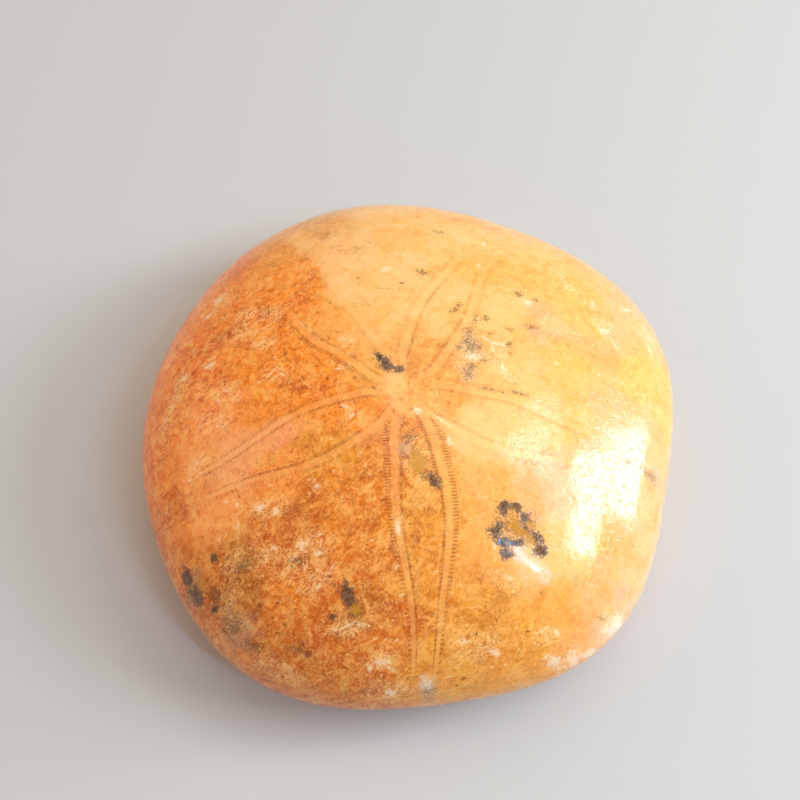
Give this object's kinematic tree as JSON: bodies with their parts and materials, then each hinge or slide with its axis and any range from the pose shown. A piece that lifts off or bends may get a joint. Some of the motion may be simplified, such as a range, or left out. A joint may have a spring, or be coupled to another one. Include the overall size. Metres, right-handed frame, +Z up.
{
  "type": "polished fossil sea urchin",
  "caption": "Polished fossil sea urchin: a low, rounded five-cornered stone dome with a star of petals on top, resting on its flat underside.",
  "frame": {"origin": "under the middle of the stone, on the surface it rests on", "axes": "+Z up through the dome, +X to the right and +Y to the back, seen with the longest petal pointing at the viewer"},
  "size_m": [0.0792, 0.0804, 0.0285],
  "materials": {
    "polished_calcite": "polished orange-amber calcite, paler yellow on one side, with dark mineral specks and thin rows of pores"
  },
  "bodies": {
    "root": {"fossil_urchin": "polished_calcite"}
  },
  "joints": []
}
